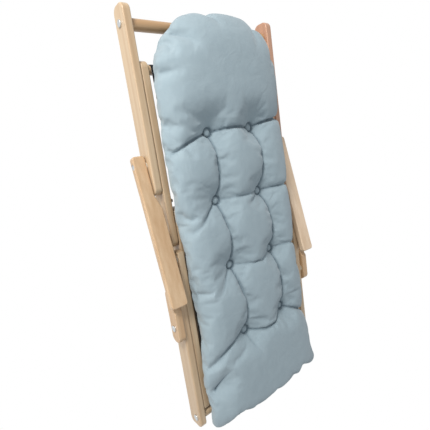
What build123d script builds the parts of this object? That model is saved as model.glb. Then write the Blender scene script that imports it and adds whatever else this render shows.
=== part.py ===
from build123d import *
import math
import os

# Folding recliner, standing folded. Millimetres, Z up, -Y towards the sitter's side.
# Layers of flat rails lie side by side along X; the right side (+X) is drawn and
# the left side is its mirror image.

# ---- overall frame ----
rail_thickness = 22.0        # along X
layer_gap = 1.5              # running gap between two layers
inner_layer_start = 189.0    # inner face of the innermost layer
layer_step = rail_thickness + layer_gap
rear_leg_x = inner_layer_start
inner_rail_x = rear_leg_x + layer_step
outer_rail_x = inner_rail_x + layer_step
post_x = outer_rail_x + layer_step
edge_round = 4.0             # hand-friendly rounding of rail edges
end_round = 20.0             # rounded rail ends
small_round = 1.0

# ---- back frame ----
back_top = 1200.0
outer_back_bottom = 717.0
back_front = -18.0
back_rear = 39.0
inner_back_top = 1065.0
inner_back_bottom = 563.0
inner_back_front = -16.0
handle_drop = 45.0           # handle rod below the top of the back
handle_height = back_top - handle_drop
handle_diameter = 30.0
handle_y = (back_front + back_rear) / 2
sling_dowel_drop = 22.0      # dowel below the top of the inner rail
sling_dowel_height = inner_back_top - sling_dowel_drop
sling_dowel_diameter = 24.0
screw_height_shares = [0.125, 0.47, 0.81]   # of the stretch where both rails overlap
screw_diameter = 5.0
screw_head_diameter = 10.0
screw_head_depth = 3.0
screw_length = 34.0
rod_socket_depth = 12.0      # how far a wooden rod enters a rail
rod_clearance = 0.1

# ---- pivots (Y, Z) ----
arm_pivot = (12.0, 800.0)
seat_pivot = (0.0, 588.0)
rear_leg_pivot = (10.0, 650.0)
front_leg_pivot = (-19.0, 533.0)
post_pivot = (-30.0, 344.0)
post_top_pin = (-22.0, 440.0)
bolt_diameter = 8.0
bolt_head_diameter = 18.0
bolt_head_height = 3.5
bolt_clearance = 0.1
bolt_end_cover = 4.0         # wood left between a blind bolt and the far face
washer_diameter = 24.0
washer_play = 0.1            # each side of a washer

# ---- seat rails ----
seat_rail_top = 607.0
seat_rail_front = -40.0
seat_rail_rear = 17.0
seat_top_front = -12.0       # front of the rail at its tapered top
seat_taper_start = 470.0
foot_round = 16.5            # leaves a flat foot between the rounded corners
seat_rod_y = -20.0
seat_rod_z = 31.0
seat_rod_diameter = 26.0

# ---- legs ----
front_leg_bottom = 47.0
front_leg_top = 553.0
front_leg_front = -36.0
front_leg_rear = -2.0
front_leg_round = 15.0
front_rod_y = -16.0
front_rod_z = 75.0
foot_rod_diameter = 20.0
rear_leg_bottom = 170.0
rear_leg_top = 675.0
rear_leg_front = -15.0
rear_leg_rear = 35.0
rear_leg_round = 24.0
rear_rod_z = 200.0

# ---- armrest and post ----
arm_outer_x = 295.5
arm_inner_x = post_x
arm_wide_inner_x = 246.0
arm_thickness = 20.0
arm_above_pivot = 27.0
arm_below_pivot = 392.0
arm_shoulder_start = 84.0
arm_shoulder_end = 122.0
arm_tilt = 11.1              # degrees the folded armrest swings forward
arm_corner_round = 9.0
post_front = -50.0
post_rear = -10.0
post_bottom = 300.0
post_head_width = 26.0
post_neck_drop = 36.0        # where the post narrows, below its pin
fork_slot_width = 7.5
fork_depth_below_pin = 21.0
tongue_thickness = 6.0
tongue_height = 26.0
tongue_nose_radius = 10.0
pin_diameter = 6.0
pin_play = 1.7               # around the pin in the tongue's slot
pin_travel = (-8.6, 0.6)   # how far the pin wanders in the slot, seen at rest
bracket_base_thickness = 3.0
bracket_base_length = 56.0
bracket_base_width = 20.0
bracket_screw_diameter = 4.0
bracket_screw_length = 12.0
bracket_screw_head = 7.0
bracket_screw_head_height = 1.6
bracket_screw_share = 0.36   # of the base length, each side of its middle

# ---- stop pegs ----
peg_diameter = 10.0
peg_length = 22.0
peg_reach = 18.0             # how far a peg stands out of its rail
front_leg_stop = (10.3, 537.0)
rear_leg_stop = (17.0, 692.0)

# ---- sling ----
sling_thickness = 1.2
split_height = 588.0
fabric_gap = 0.3
hem_half_width = 205.0

# ---- cushion ----
cushion_half_width = 214.0
cushion_top = 1187.0
cushion_head_start = 1030.0
cushion_depth = 84.0
cushion_back_play = 1.0
cushion_side_draw = 7.0      # side seam drawn in
cushion_crown_share = 0.58   # of the depth, rise of the front crown
end_run = 60.0               # height over which an end of the pad closes down
end_narrow_share = 0.03
thin_end_share = 0.35        # of the depth, left at the very top
hem_thin_share = 0.6         # and at the lower edge
fold_thin_share = 0.85       # and where the pad folds between back and seat
end_steps = 4
head_steps = 9
channel_reach = 44.0         # each side of a stitched row
channel_depth_share = 0.86   # of the depth, left in a stitched row
channel_width_share = 0.972
channel_shares = [(-1.0, 1.0, 1.0), (-0.6, 0.995, 0.985), (-0.25, 0.985, 0.93),
                  (0.0, channel_width_share, channel_depth_share), (0.25, 0.985, 0.93), (0.6, 0.995, 0.985),
                  (1.0, 1.0, 1.0)]
dimple_radius = 30.0
dimple_depth = 14.0
button_diameter = 20.0
button_height = 6.0
button_rows = [865.0, 675.0, 480.0, 270.0]
button_half_spacing = 77.0

facet = 0.05
os.makedirs("parts", exist_ok=True)


def save(name, solids):
    """Write one node: a single solid or a group of separate solids."""
    moved = [Pos(0, origin_shift, 0) * s for s in solids]
    shape = moved[0] if len(moved) == 1 else Compound(children=moved)
    shape.label = name
    export_step(shape, f"parts/{name}.step")


def mirrored(solid):
    return solid.mirror(Plane.YZ)


def both(solids):
    return list(solids) + [mirrored(s) for s in solids]


def side_face(points, rounds=None):
    """A flat outline given as (Y, Z) points, with chosen corners rounded."""
    face = make_face(Polyline(*points, close=True))
    if rounds:
        for (y, z), radius in rounds:
            corner = min(
                face.vertices(), key=lambda v: math.hypot(v.X - y, v.Y - z)
            )
            face = fillet(corner, radius)
    return face


def slab(face, x_low, thickness):
    """Stand a (Y, Z) outline up across the X direction."""
    return extrude(Plane.YZ.offset(x_low) * face, amount=thickness)


def rod(y, z, x_low, x_high, diameter):
    """A round bar along X."""
    face = Pos(y, z) * Circle(diameter / 2)
    return slab(face, x_low, x_high - x_low)


def soften(solid, radius=edge_round):
    """Round the long edges of both broad faces of a rail."""
    box = solid.bounding_box()
    low = solid.edges().filter_by_position(Axis.X, box.min.X - facet, box.min.X + facet)
    high = solid.edges().filter_by_position(Axis.X, box.max.X - facet, box.max.X + facet)
    return fillet(low + high, radius)


def rail(x_low, y_front, y_rear, z_low, z_high, round_low, round_high):
    points = [(y_front, z_low), (y_rear, z_low), (y_rear, z_high), (y_front, z_high)]
    rounds = []
    if round_low:
        rounds += [(points[0], round_low), (points[1], round_low)]
    if round_high:
        rounds += [(points[2], round_high), (points[3], round_high)]
    return soften(slab(side_face(points, rounds), x_low, rail_thickness))


def drill(solid, y, z, x_low, x_high, diameter, play=bolt_clearance):
    return solid - rod(y, z, x_low, x_high, diameter + 2 * play)


# back frame
outer_x_high = outer_rail_x + rail_thickness
inner_x_high = inner_rail_x + rail_thickness
leg_x_high = rear_leg_x + rail_thickness
post_x_high = post_x + rail_thickness

outer_back = rail(
    outer_rail_x, back_front, back_rear, outer_back_bottom, back_top, end_round, end_round
)
pad_points = [
    (inner_back_front + edge_round, outer_back_bottom + end_round),
    (back_rear - edge_round, outer_back_bottom + end_round),
    (back_rear - edge_round, inner_back_top - end_round),
    (inner_back_front + edge_round, inner_back_top - end_round),
]
outer_back += slab(side_face(pad_points), inner_x_high, layer_gap)
inner_back = rail(
    inner_rail_x, inner_back_front, back_rear, inner_back_bottom, inner_back_top,
    end_round, end_round
)

# carry handle rod between the outer rails, held by a bolt on each side
handle_reach = outer_rail_x + rod_socket_depth
handle = rod(handle_y, handle_height, -handle_reach, handle_reach, handle_diameter)
outer_back = drill(
    outer_back, handle_y, handle_height, outer_rail_x - layer_step, handle_reach,
    handle_diameter, rod_clearance
)


def blind_bolt(y, z, x_tip, x_face, recess):
    """A bolt put in from the outside: head at x_face, tip at x_tip."""
    head_low = x_face - recess
    head_face = Pos(y, z) * Circle(bolt_head_diameter / 2)
    head = slab(head_face, head_low, bolt_head_height)
    rim = head.edges().filter_by_position(
        Axis.X, head_low + bolt_head_height - facet, head_low + bolt_head_height + facet
    )
    head = fillet(rim, small_round)
    return head + rod(y, z, x_tip, head_low, bolt_diameter)


def bolt_hole(solid, y, z, x_tip, x_face, recess):
    """The bore and head pocket for a blind bolt."""
    solid = drill(solid, y, z, x_tip, x_face + recess + layer_gap, bolt_diameter)
    if recess > 0:
        solid = drill(solid, y, z, x_face - recess, x_face + recess, bolt_head_diameter)
    return solid


handle_bolt_tip = handle_reach - rod_socket_depth * 3
handle_bolt = blind_bolt(handle_y, handle_height, handle_bolt_tip, outer_x_high, 0)
outer_back = bolt_hole(outer_back, handle_y, handle_height, handle_bolt_tip, outer_x_high, 0)
for side in (1, -1):
    bore = rod(
        handle_y, handle_height, handle_bolt_tip, handle_reach,
        bolt_diameter + 2 * bolt_clearance
    )
    handle -= bore if side > 0 else mirrored(bore)

# sling dowel between the inner rails
dowel_reach = inner_rail_x + rod_socket_depth
sling_dowel = rod(0, sling_dowel_height, -dowel_reach, dowel_reach, sling_dowel_diameter)
inner_back = drill(
    inner_back, 0, sling_dowel_height, inner_rail_x - layer_gap, dowel_reach,
    sling_dowel_diameter, rod_clearance
)

# screws from the inside join the inner and the outer rail
screws = []
for share in screw_height_shares:
    height = outer_back_bottom + share * (inner_back_top - outer_back_bottom)
    shank = rod(handle_y, height, inner_rail_x, inner_rail_x + screw_length, screw_diameter)
    cap = rod(
        handle_y, height, inner_rail_x, inner_rail_x + screw_head_depth, screw_head_diameter
    )
    screws.append(cap + shank)
    inner_back = drill(
        inner_back, handle_y, height, inner_rail_x, inner_rail_x + screw_length, screw_diameter
    )
    inner_back = drill(
        inner_back, handle_y, height, inner_rail_x - layer_gap,
        inner_rail_x + screw_head_depth, screw_head_diameter
    )
    outer_back = drill(
        outer_back, handle_y, height, inner_x_high - layer_gap,
        inner_rail_x + screw_length, screw_diameter
    )

# armrest
ay, az = arm_pivot


def arm_place(solid):
    """Swing a piece drawn hanging straight down into the folded armrest's tilt."""
    return solid.rotate(Axis((0, ay, az), (1, 0, 0)), -arm_tilt)


arm_low_z = az - arm_below_pivot
arm_high_z = az + arm_above_pivot
arm_plan = make_face(Polyline(
    (arm_inner_x, arm_high_z),
    (arm_outer_x, arm_high_z),
    (arm_outer_x, arm_low_z),
    (arm_wide_inner_x, arm_low_z),
    (arm_wide_inner_x, az - arm_shoulder_end),
    (arm_inner_x, az - arm_shoulder_start),
    close=True,
))
for x, z in [
    (arm_inner_x, arm_high_z), (arm_outer_x, arm_high_z),
    (arm_outer_x, arm_low_z), (arm_wide_inner_x, arm_low_z),
]:
    corner = min(arm_plan.vertices(), key=lambda v: math.hypot(v.X - x, v.Y - z))
    arm_plan = fillet(corner, arm_corner_round)
for x, z in [
    (arm_wide_inner_x, az - arm_shoulder_end), (arm_inner_x, az - arm_shoulder_start),
]:
    corner = min(arm_plan.vertices(), key=lambda v: math.hypot(v.X - x, v.Y - z))
    arm_plan = fillet(corner, end_round)
arm_board = extrude(
    Plane.XZ.offset(-(ay + arm_thickness / 2)) * arm_plan, amount=arm_thickness
)
arm_faces = arm_board.faces().filter_by(Axis.Y)
arm_board = fillet(arm_faces.edges(), edge_round)
arm_bolt_tip = outer_x_high - rail_thickness + bolt_end_cover
arm_recess = bolt_head_height + small_round
arm_board = drill(
    arm_board, ay, az, arm_inner_x - layer_gap, arm_outer_x + layer_gap, bolt_diameter
)
arm_board = drill(
    arm_board, ay, az, arm_outer_x - arm_recess, arm_outer_x + layer_gap,
    arm_thickness - edge_round
)
arm_head_low = arm_outer_x - arm_recess
arm_bolt = rod(
    ay, az, arm_head_low, arm_head_low + bolt_head_height,
    arm_thickness - edge_round - 2 * bolt_clearance
)
arm_bolt += rod(ay, az, arm_bolt_tip, arm_head_low, bolt_diameter)
outer_back = drill(outer_back, ay, az, arm_bolt_tip, outer_x_high + layer_gap, bolt_diameter)

# steel bracket under the armrest: a base plate with an upright slotted tongue
pin_y, pin_z = post_top_pin
turn = math.radians(arm_tilt)


def arm_frame(y, z):
    """The place of a folded point once the armrest is turned back to hang straight."""
    dy = y - ay
    dz = z - az
    back_y = dy * math.cos(turn) - dz * math.sin(turn)
    back_z = dy * math.sin(turn) + dz * math.cos(turn)
    return ay + back_y, az + back_z


slot_start = arm_frame(pin_y, pin_z)
slot_end = arm_frame(pin_y + pin_travel[0], pin_z + pin_travel[1])
post_mid_x = post_x + rail_thickness / 2
under_y = ay + arm_thickness / 2
base_mid_z = (slot_start[1] + slot_end[1]) / 2
base_face = side_face([
    (under_y, base_mid_z - bracket_base_length / 2),
    (under_y + bracket_base_thickness, base_mid_z - bracket_base_length / 2),
    (under_y + bracket_base_thickness, base_mid_z + bracket_base_length / 2),
    (under_y, base_mid_z + bracket_base_length / 2),
])
bracket = slab(base_face, post_mid_x - bracket_base_width / 2, bracket_base_width)
tongue_face = side_face([
    (under_y, base_mid_z - tongue_height / 2),
    (slot_start[0], slot_start[1] - tongue_nose_radius),
    (slot_start[0], slot_start[1] + tongue_nose_radius),
    (under_y, base_mid_z + tongue_height / 2),
])
tongue_face += Pos(*slot_start) * Circle(tongue_nose_radius)
bracket += slab(tongue_face, post_mid_x - tongue_thickness / 2, tongue_thickness)
slot_radius = pin_diameter / 2 + pin_play
slot_angle = math.atan2(slot_end[1] - slot_start[1], slot_end[0] - slot_start[0])
across = (
    -math.sin(slot_angle) * slot_radius,
    math.cos(slot_angle) * slot_radius,
)
slot_face = side_face([
    (slot_start[0] + across[0], slot_start[1] + across[1]),
    (slot_end[0] + across[0], slot_end[1] + across[1]),
    (slot_end[0] - across[0], slot_end[1] - across[1]),
    (slot_start[0] - across[0], slot_start[1] - across[1]),
])
slot_face += Pos(*slot_start) * Circle(slot_radius)
slot_face += Pos(*slot_end) * Circle(slot_radius)
bracket -= slab(slot_face, post_mid_x - tongue_thickness, tongue_thickness * 2)
bracket_screws = []
for side in (1, -1):
    z = base_mid_z + side * bracket_screw_share * bracket_base_length
    head_y = under_y + bracket_base_thickness
    shank_plane = Plane((post_mid_x, head_y, z), z_dir=(0, -1, 0))
    shank = extrude(shank_plane * Circle(bracket_screw_diameter / 2), bracket_screw_length)
    cap = extrude(
        shank_plane * Circle(bracket_screw_head / 2), -bracket_screw_head_height
    )
    bracket_screws.append(shank + cap)
    bore = extrude(
        shank_plane * Circle(bracket_screw_diameter / 2 + bolt_clearance),
        bracket_screw_length + small_round
    )
    bracket -= bore
    arm_board -= bore

armrest = arm_place(arm_board)
arm_bracket = arm_place(bracket)
bracket_screws = [arm_place(s) for s in bracket_screws]

# post
post_neck_height = pin_z - post_neck_drop
head_front = pin_y - post_head_width / 2
head_rear = pin_y + post_head_width / 2
head_top = pin_z + post_head_width / 2
post_points = [
    (post_front, post_bottom),
    (post_rear, post_bottom),
    (post_rear, post_neck_height - (post_head_width - (head_rear - post_rear))),
    (head_rear, post_neck_height),
    (head_rear, head_top),
    (head_front, head_top),
    (head_front, post_neck_height + post_head_width / 2),
    (post_front, post_neck_height - post_head_width / 2),
]
post_rounds = [
    (post_points[0], end_round - small_round),
    (post_points[1], end_round - small_round),
    (post_points[4], post_head_width / 2 - small_round),
    (post_points[5], post_head_width / 2 - small_round),
]
post = soften(slab(side_face(post_points, post_rounds), post_x, rail_thickness), edge_round / 2)
fork = side_face([
    (post_front, pin_z - fork_depth_below_pin),
    (head_rear + edge_round, pin_z - fork_depth_below_pin),
    (head_rear + edge_round, head_top + edge_round),
    (post_front, head_top + edge_round),
])
post -= slab(fork, post_mid_x - fork_slot_width / 2, fork_slot_width)
pin_low = post_x + small_round
pin_high = post_x_high - small_round
post_pin = rod(pin_y, pin_z, pin_low, pin_high, pin_diameter)
post = drill(post, pin_y, pin_z, pin_low, post_x_high + layer_gap, pin_diameter, rod_clearance)
post_bolt_tip = outer_rail_x + bolt_end_cover
post_bolt = blind_bolt(*post_pivot, post_bolt_tip, post_x_high, 0)
post = bolt_hole(post, *post_pivot, post_x - layer_gap, post_x_high, 0)

# seat rail
seat_points = [
    (seat_rail_front, 0),
    (seat_rail_rear, 0),
    (seat_rail_rear, seat_rail_top),
    (seat_top_front, seat_rail_top),
    (seat_rail_front, seat_taper_start),
]
seat_rounds = [
    (seat_points[0], foot_round),
    (seat_points[1], foot_round),
    (seat_points[2], foot_round - edge_round),
    (seat_points[3], foot_round - edge_round),
]
seat_rail = soften(slab(side_face(seat_points, seat_rounds), outer_rail_x, rail_thickness))
seat_rail = drill(
    seat_rail, *post_pivot, post_bolt_tip, post_x, bolt_diameter
)
seat_rod_reach = outer_rail_x + rod_socket_depth
seat_rod = rod(
    seat_rod_y, seat_rod_z, -seat_rod_reach, seat_rod_reach, seat_rod_diameter
)
seat_rail = drill(
    seat_rail, seat_rod_y, seat_rod_z, outer_rail_x - layer_gap, seat_rod_reach,
    seat_rod_diameter, rod_clearance
)
seat_rod_bolt_tip = seat_rod_reach - rod_socket_depth * 3
seat_rod_bolt = blind_bolt(seat_rod_y, seat_rod_z, seat_rod_bolt_tip, outer_x_high, 0)
seat_rail = bolt_hole(
    seat_rail, seat_rod_y, seat_rod_z, seat_rod_bolt_tip, outer_x_high, 0
)
bore = rod(
    seat_rod_y, seat_rod_z, seat_rod_bolt_tip, seat_rod_reach,
    bolt_diameter + 2 * bolt_clearance
)
seat_rod = seat_rod - bore - mirrored(bore)

# pivots between neighbouring layers, bolts put in from the outer face with sunk heads
sunk = bolt_head_height + small_round
inner_bolt_tip = inner_rail_x + bolt_end_cover
seat_pivot_bolt = blind_bolt(*seat_pivot, inner_bolt_tip, outer_x_high, sunk)
seat_rail = bolt_hole(seat_rail, *seat_pivot, outer_rail_x - layer_gap, outer_x_high, sunk)
inner_back = drill(inner_back, *seat_pivot, inner_bolt_tip, inner_x_high + layer_gap,
                   bolt_diameter)
front_pivot_bolt = blind_bolt(*front_leg_pivot, inner_bolt_tip, outer_x_high, sunk)
seat_rail = bolt_hole(
    seat_rail, *front_leg_pivot, outer_rail_x - layer_gap, outer_x_high, sunk
)

# legs
front_leg = rail(
    inner_rail_x, front_leg_front, front_leg_rear, front_leg_bottom, front_leg_top,
    front_leg_round, 0
)
front_leg = drill(
    front_leg, *front_leg_pivot, inner_bolt_tip, inner_x_high + layer_gap, bolt_diameter
)
front_rod_reach = inner_rail_x + rod_socket_depth
front_rod = rod(
    front_rod_y, front_rod_z, -front_rod_reach, front_rod_reach, foot_rod_diameter
)
front_leg = drill(
    front_leg, front_rod_y, front_rod_z, inner_rail_x - layer_gap, front_rod_reach,
    foot_rod_diameter, rod_clearance
)
rear_leg = rail(
    rear_leg_x, rear_leg_front, rear_leg_rear, rear_leg_bottom, rear_leg_top,
    rear_leg_round, rear_leg_round
)
leg_bolt_tip = rear_leg_x + bolt_end_cover
rear_pivot_bolt = blind_bolt(*rear_leg_pivot, leg_bolt_tip, inner_x_high, sunk)
rear_leg = drill(rear_leg, *rear_leg_pivot, leg_bolt_tip, leg_x_high + layer_gap, bolt_diameter)
inner_back = bolt_hole(
    inner_back, *rear_leg_pivot, inner_rail_x - layer_gap, inner_x_high, sunk
)
rear_rod_y = (rear_leg_front + rear_leg_rear) / 2
rear_rod_reach = rear_leg_x + rod_socket_depth
rear_rod = rod(rear_rod_y, rear_rod_z, -rear_rod_reach, rear_rod_reach, foot_rod_diameter)
rear_leg = drill(
    rear_leg, rear_rod_y, rear_rod_z, rear_leg_x - layer_gap, rear_rod_reach,
    foot_rod_diameter, rod_clearance
)

# stop pegs: they end the swing of each pair of legs
peg_in = peg_length - peg_reach
front_peg = rod(
    *front_leg_stop, outer_rail_x - peg_reach, outer_rail_x + peg_in, peg_diameter
)
seat_rail = drill(
    seat_rail, *front_leg_stop, outer_rail_x - layer_gap, outer_rail_x + peg_in,
    peg_diameter, rod_clearance
)
rear_peg = rod(
    *rear_leg_stop, inner_rail_x - peg_reach, inner_rail_x + peg_in, peg_diameter
)
inner_back = drill(
    inner_back, *rear_leg_stop, inner_rail_x - layer_gap, inner_rail_x + peg_in,
    peg_diameter, rod_clearance
)


# washers
def washer(y, z, gap_low):
    ring = rod(
        y, z, gap_low + washer_play, gap_low + layer_gap - washer_play, washer_diameter
    )
    return drill(ring, y, z, gap_low, gap_low + layer_gap, bolt_diameter)


arm_washer = rod(
    ay, az, outer_x_high + washer_play, post_x - washer_play,
    arm_thickness - small_round
)
arm_washer = drill(arm_washer, ay, az, outer_x_high, post_x, bolt_diameter)
seat_washers = [washer(*seat_pivot, inner_x_high)]
front_washers = [washer(*front_leg_pivot, inner_x_high)]
rear_washers = [washer(*rear_leg_pivot, leg_x_high)]
post_washers = [washer(*post_pivot, outer_x_high)]


# sling
def plane_y(z):
    """Front of the sling cloth at a height, between its two rods."""
    top_y = -sling_dowel_diameter / 2
    low_y = seat_rod_y - seat_rod_diameter / 2
    share = (z - seat_rod_z) / (sling_dowel_height - seat_rod_z)
    return low_y + (top_y - low_y) * share


def cloth(z_low, z_high, half_width):
    front = sling_thickness + fabric_gap
    face = side_face([
        (plane_y(z_low) - front, z_low),
        (plane_y(z_low) - fabric_gap, z_low),
        (plane_y(z_high) - fabric_gap, z_high),
        (plane_y(z_high) - front, z_high),
    ])
    return slab(face, -half_width, 2 * half_width)


def loop(y, z, diameter, half_width):
    """The hem that wraps a rod: a ring of cloth closed at the front."""
    inner = diameter / 2 + fabric_gap
    ring = rod(y, z, -half_width, half_width, 2 * (inner + sling_thickness))
    return ring - rod(y, z, -half_width, half_width, 2 * inner)


sling_upper = cloth(split_height + fabric_gap, sling_dowel_height, hem_half_width)
sling_upper += loop(0, sling_dowel_height, sling_dowel_diameter, hem_half_width)
sling_upper -= rod(
    0, sling_dowel_height, -cushion_half_width, cushion_half_width,
    sling_dowel_diameter + 2 * fabric_gap
)
sling_lower = cloth(seat_rod_z, split_height - fabric_gap, hem_half_width)
sling_lower += loop(seat_rod_y, seat_rod_z, seat_rod_diameter, hem_half_width)
sling_lower -= rod(
    seat_rod_y, seat_rod_z, -cushion_half_width, cushion_half_width,
    seat_rod_diameter + 2 * fabric_gap
)


# cushion
cloth_front = sling_thickness + fabric_gap + cushion_back_play


# the origin is under the middle of the depth: everything moves back by this much
front_most = plane_y(end_run) - cloth_front - cushion_depth
origin_shift = -(front_most + back_rear) / 2


def cushion_section(z, scale_width, scale_depth):
    """One level slice through the pad: flat back, drawn-in sides, crowned front."""
    half = cushion_half_width * scale_width
    back = plane_y(z) - cloth_front
    depth = cushion_depth * scale_depth
    side_depth = depth * (1 - cushion_crown_share)
    draw = cushion_side_draw * scale_depth
    inset = draw * 2
    seam = back - side_depth / 2
    shoulder = back - side_depth
    curve = [
        Line((-half + inset, back), (half - inset, back)),
        ThreePointArc(
            (half - inset, back), (half - draw / 2, back - side_depth / 5), (half - draw, seam)
        ),
        ThreePointArc(
            (half - draw, seam), (half, seam - side_depth / 3), (half - inset, shoulder)
        ),
        ThreePointArc((half - inset, shoulder), (0, back - depth), (-half + inset, shoulder)),
        ThreePointArc(
            (-half + inset, shoulder), (-half, seam - side_depth / 3), (-half + draw, seam)
        ),
        ThreePointArc(
            (-half + draw, seam), (-half + draw / 2, back - side_depth / 5),
            (-half + inset, back)
        ),
    ]
    return Pos(0, 0, z) * make_face(curve)


def cushion_run(levels):
    return loft([cushion_section(*level) for level in levels], ruled=True)


head_height = cushion_top - cushion_head_start
head_levels = []
for step in range(head_steps + 1):
    angle = math.pi / 2 * step / (head_steps + 1)
    head_levels.append((
        cushion_head_start + head_height * math.sin(angle),
        math.cos(angle),
        thin_end_share + (1 - thin_end_share) * math.cos(angle),
    ))


def end_levels_at(z_end, direction, thin):
    levels = []
    for step in range(end_steps + 1):
        angle = math.pi / 2 * step / end_steps
        swell = thin + (1 - thin) * math.sin(angle)
        run = end_run * (1 - math.cos(angle))
        narrow = 1 - end_narrow_share * (1 - math.sin(angle))
        levels.append((z_end + direction * run, narrow, swell))
    return levels


def channel(row):
    """Levels across one stitched row, where the pad is drawn in."""
    return [
        (row + where * channel_reach, wide, deep) for where, wide, deep in channel_shares
    ]


back_start = split_height + fabric_gap
back_levels = end_levels_at(back_start, 1, fold_thin_share)
seat_end = split_height - fabric_gap
seat_levels = end_levels_at(0, 1, hem_thin_share)
for row in sorted(button_rows):
    if row > split_height:
        back_levels += channel(row)
    else:
        seat_levels += channel(row)
cushion_back = cushion_run(sorted(back_levels) + head_levels)
seat_levels += list(reversed(end_levels_at(seat_end, -1, fold_thin_share)))
cushion_seat = cushion_run(sorted(seat_levels))


def front_y(x, z):
    """Front of the crowned pad at a place in a stitched row."""
    depth = cushion_depth * channel_depth_share
    inset = 2 * cushion_side_draw * channel_depth_share
    half = cushion_half_width * channel_width_share - inset
    rise = depth * cushion_crown_share
    radius = (half * half + rise * rise) / (2 * rise)
    drop = radius - math.sqrt(radius * radius - x * x)
    return plane_y(z) - cloth_front - depth + drop


buttons_back = []
buttons_seat = []
for z in button_rows:
    for x in (-button_half_spacing, button_half_spacing):
        tip = front_y(x, z)
        ball_y = tip - dimple_radius + dimple_depth
        ball = Pos(x, ball_y, z) * Sphere(dimple_radius)
        floor_y = tip + dimple_depth
        button_plane = Plane((x, floor_y - fabric_gap, z), z_dir=(0, -1, 0))
        button = extrude(button_plane * Circle(button_diameter / 2), button_height)
        rim = button.edges().filter_by_position(
            Axis.Y, floor_y - fabric_gap - button_height - facet,
            floor_y - fabric_gap - button_height + facet
        )
        button = fillet(rim, button_height / 2)
        seat_for_button = extrude(
            button_plane * Circle(button_diameter / 2 + fabric_gap), button_height
        )
        if z > split_height:
            cushion_back = cushion_back - ball - seat_for_button
            buttons_back.append(button)
        else:
            cushion_seat = cushion_seat - ball - seat_for_button
            buttons_seat.append(button)

# write the nodes
pairs = {
    "outer_back_rail": outer_back,
    "inner_back_rail": inner_back,
    "seat_rail": seat_rail,
    "front_leg": front_leg,
    "rear_leg": rear_leg,
    "armrest": armrest,
    "arm_bracket": arm_bracket,
    "arm_post": post,
    "post_pin": post_pin,
    "arm_pivot_washer": arm_washer,
}
for name, solid in pairs.items():
    save(f"right_{name}", [solid])
    save(f"left_{name}", [mirrored(solid)])

save("right_bracket_screws", bracket_screws)
save("left_bracket_screws", [mirrored(s) for s in bracket_screws])
save("carry_handle_rod", [handle])
save("sling_top_dowel", [sling_dowel])
save("handle_bolts", both([handle_bolt]))
save("back_rail_screws", both(screws))
save("arm_pivot_bolts", both([arm_bolt]))
save("rear_leg_pivot_bolts", both([rear_pivot_bolt]))
save("rear_leg_stop_pegs", both([rear_peg]))
save("seat_front_rod", [seat_rod])
save("seat_front_bolts", both([seat_rod_bolt]))
save("seat_pivot_bolts", both([seat_pivot_bolt]))
save("front_leg_pivot_bolts", both([front_pivot_bolt]))
save("post_pivot_bolts", both([post_bolt]))
save("front_leg_stop_pegs", both([front_peg]))
save("seat_pivot_washers", both(seat_washers))
save("front_leg_washers", both(front_washers))
save("rear_leg_washers", both(rear_washers))
save("post_washers", both(post_washers))
save("front_foot_rod", [front_rod])
save("rear_foot_rod", [rear_rod])
save("sling_upper", [sling_upper])
save("sling_lower", [sling_lower])
save("cushion_back", [cushion_back])
save("cushion_seat", [cushion_seat])
save("back_tuft_buttons", buttons_back)
save("seat_tuft_buttons", buttons_seat)
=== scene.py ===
import bpy
import bmesh
import math
import numpy as np
from mathutils import Matrix, Vector


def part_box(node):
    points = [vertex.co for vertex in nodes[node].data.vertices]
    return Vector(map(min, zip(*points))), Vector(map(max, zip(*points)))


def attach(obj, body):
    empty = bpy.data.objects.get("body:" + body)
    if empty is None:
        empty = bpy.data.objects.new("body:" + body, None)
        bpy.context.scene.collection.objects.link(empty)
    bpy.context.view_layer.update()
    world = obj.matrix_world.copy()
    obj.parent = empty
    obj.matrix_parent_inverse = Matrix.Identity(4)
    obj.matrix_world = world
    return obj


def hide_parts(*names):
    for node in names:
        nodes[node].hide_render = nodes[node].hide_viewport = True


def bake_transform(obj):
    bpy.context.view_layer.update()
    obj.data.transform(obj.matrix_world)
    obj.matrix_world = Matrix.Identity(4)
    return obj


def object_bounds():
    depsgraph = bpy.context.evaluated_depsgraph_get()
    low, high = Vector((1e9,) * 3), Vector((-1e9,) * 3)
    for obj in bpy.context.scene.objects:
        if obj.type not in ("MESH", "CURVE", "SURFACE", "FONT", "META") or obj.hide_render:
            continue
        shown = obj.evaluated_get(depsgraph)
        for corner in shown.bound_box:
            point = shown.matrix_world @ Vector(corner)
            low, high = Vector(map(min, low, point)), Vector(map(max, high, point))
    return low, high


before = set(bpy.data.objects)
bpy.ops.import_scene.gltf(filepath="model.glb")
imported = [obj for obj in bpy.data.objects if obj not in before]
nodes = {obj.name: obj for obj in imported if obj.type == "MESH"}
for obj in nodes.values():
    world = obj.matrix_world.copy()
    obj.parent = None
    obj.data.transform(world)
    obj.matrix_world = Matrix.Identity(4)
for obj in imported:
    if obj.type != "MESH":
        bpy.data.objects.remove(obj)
first_box = [list(map(float, corner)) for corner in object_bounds()]
MM = 0.001
scene = bpy.context.scene


def middle_and_radius(name):
    """Depth and height of a rod's middle, and its radius."""
    low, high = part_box(name)
    return (low[1] + high[1]) / 2, (low[2] + high[2]) / 2, (high[2] - low[2]) / 2


# The two rods that hold the sling. Depths named SHIFT and a number are measured
# from the top dowel's middle.
TOP_Y, TOP_Z, TOP_R = middle_and_radius("sling_top_dowel")
LOW_Y, LOW_Z, LOW_R = middle_and_radius("seat_front_rod")
SHIFT = TOP_Y
SLING_STAND_OFF = 1.5 * MM

# The height at which the seat frame folds on the back frame
FOLD_HEIGHT = 0.588


def cloth_y(z):
    """Depth of the sling's front at a height."""
    low, high = LOW_Y - LOW_R, TOP_Y - TOP_R
    return low + (high - low) * (z - LOW_Z) / (TOP_Z - LOW_Z) - SLING_STAND_OFF


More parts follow.
